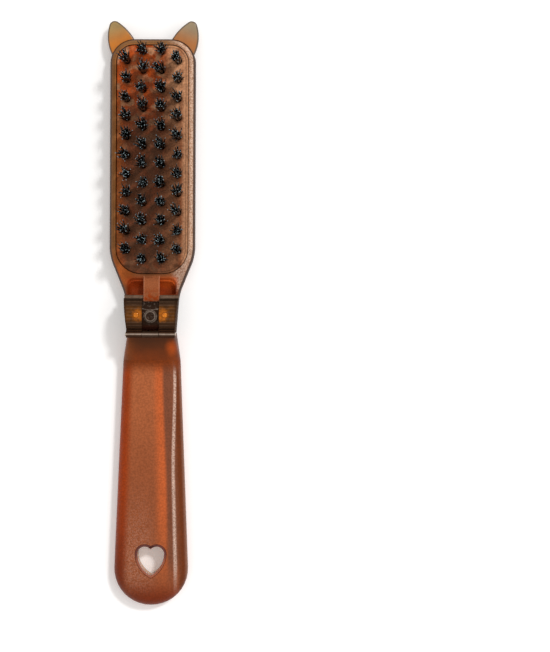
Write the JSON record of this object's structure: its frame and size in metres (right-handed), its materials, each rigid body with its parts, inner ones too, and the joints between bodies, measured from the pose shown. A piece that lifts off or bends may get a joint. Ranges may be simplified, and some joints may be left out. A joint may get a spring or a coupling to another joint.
{
  "type": "folding hairbrush",
  "caption": "Folding hairbrush: bristle head with two pointed ears on a raised hinge with a lock button, and a hollow handle with a heart-shaped hang hole.",
  "frame": {"origin": "centre of the brush's own bounding box in X and Y, on the surface that it lies on", "axes": "+Y from the handle to the head's top edge, +Z from the back to the bristles, +X to the right seen from the bristle side"},
  "size_m": [0.0308, 0.1976, 0.0152],
  "materials": {
    "head_amber": "frosted translucent amber plastic",
    "plate_brown": "finely textured translucent brown plastic",
    "ear_amber": "smooth amber plastic, paler at the tip",
    "bristle_black": "black nylon bristles",
    "anchor_wire": "bright wire",
    "cheek_smoke": "polished smoky brown plastic",
    "rivet_gold": "clear golden plastic posts",
    "housing_dark": "dark moulded plastic",
    "button_dark": "dark satin plastic",
    "plunger_steel": "ground steel",
    "spring_steel": "drawn spring wire",
    "pin_steel": "polished pin",
    "insert_amber": "solid amber plastic, darker where it is thick",
    "tongue_gold": "golden translucent plastic",
    "handle_amber": "frosted translucent amber plastic",
    "grommet_amber": "clear brown plastic"
  },
  "bodies": {
    "handle": {"handle_back": "handle_amber", "handle_front": "handle_amber", "hinge_insert": "insert_amber", "latch_tongue": "tongue_gold", "heart_grommet": "grommet_amber", "hinge_pin": "pin_steel"},
    "head": {"head_shell": "head_amber", "bristle_plate": "plate_brown", "ear_left": "ear_amber", "ear_right": "ear_amber", "tufts_outer_left": "bristle_black", "tufts_inner_left": "bristle_black", "tufts_inner_right": "bristle_black", "tufts_outer_right": "bristle_black", "tuft_anchors": "anchor_wire", "hinge_cheek_left": "cheek_smoke", "hinge_cheek_right": "cheek_smoke", "cheek_rivets": "rivet_gold", "lock_housing": "housing_dark"},
    "button": {"lock_button": "button_dark", "release_plunger": "plunger_steel", "button_spring": "spring_steel"}
  },
  "joints": [
    {"name": "fold", "type": "hinge", "parent": "handle", "child": "head", "pos_m": [0, -0.00715, 0.011], "axis": [1, 0, 0], "range_deg": [0, 180]},
    {"name": "lock_button_press", "type": "slide", "parent": "head", "child": "button", "axis": [0, 0, -1], "range_m": [0, 0.0008], "stiffness_N_per_m": 600, "springref_m": -0.001, "deforming": ["button_spring"]}
  ]
}
